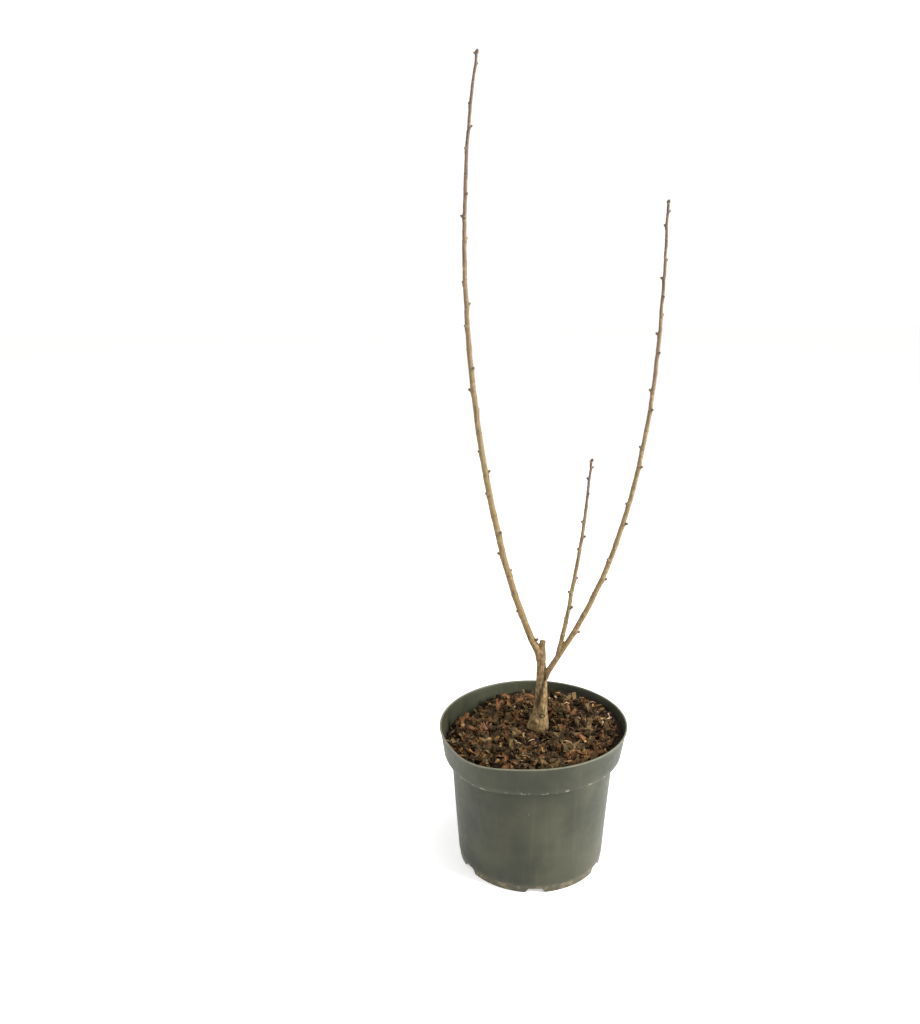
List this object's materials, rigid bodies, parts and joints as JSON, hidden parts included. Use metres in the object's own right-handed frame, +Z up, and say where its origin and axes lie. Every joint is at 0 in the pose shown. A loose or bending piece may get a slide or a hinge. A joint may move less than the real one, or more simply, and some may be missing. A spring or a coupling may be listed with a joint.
{
  "type": "potted ginkgo tree",
  "caption": "Young columnar tree, bare of leaves, with slender upright shoots on a short grafted trunk, in a round plastic nursery pot topped with bark mulch.",
  "frame": {"origin": "centre of the pot's flat underside", "axes": "+Z up, from the pot towards the tips of the shoots; +X to the right and -Y towards the viewer in the front view"},
  "size_m": [0.2466, 0.2227, 0.9245],
  "materials": {
    "pot": "matt, scuffed",
    "potting_mix": "rough, damp",
    "bark_mulch": "rough",
    "trunk_bark": "rough bark",
    "shoot_bark": "smooth young bark"
  },
  "bodies": {
    "root": {"pot": "pot", "potting_mix": "potting_mix", "bark_mulch": "bark_mulch", "trunk": "trunk_bark", "left_shoot": "shoot_bark", "right_shoot": "shoot_bark", "middle_shoot": "shoot_bark"}
  },
  "joints": []
}
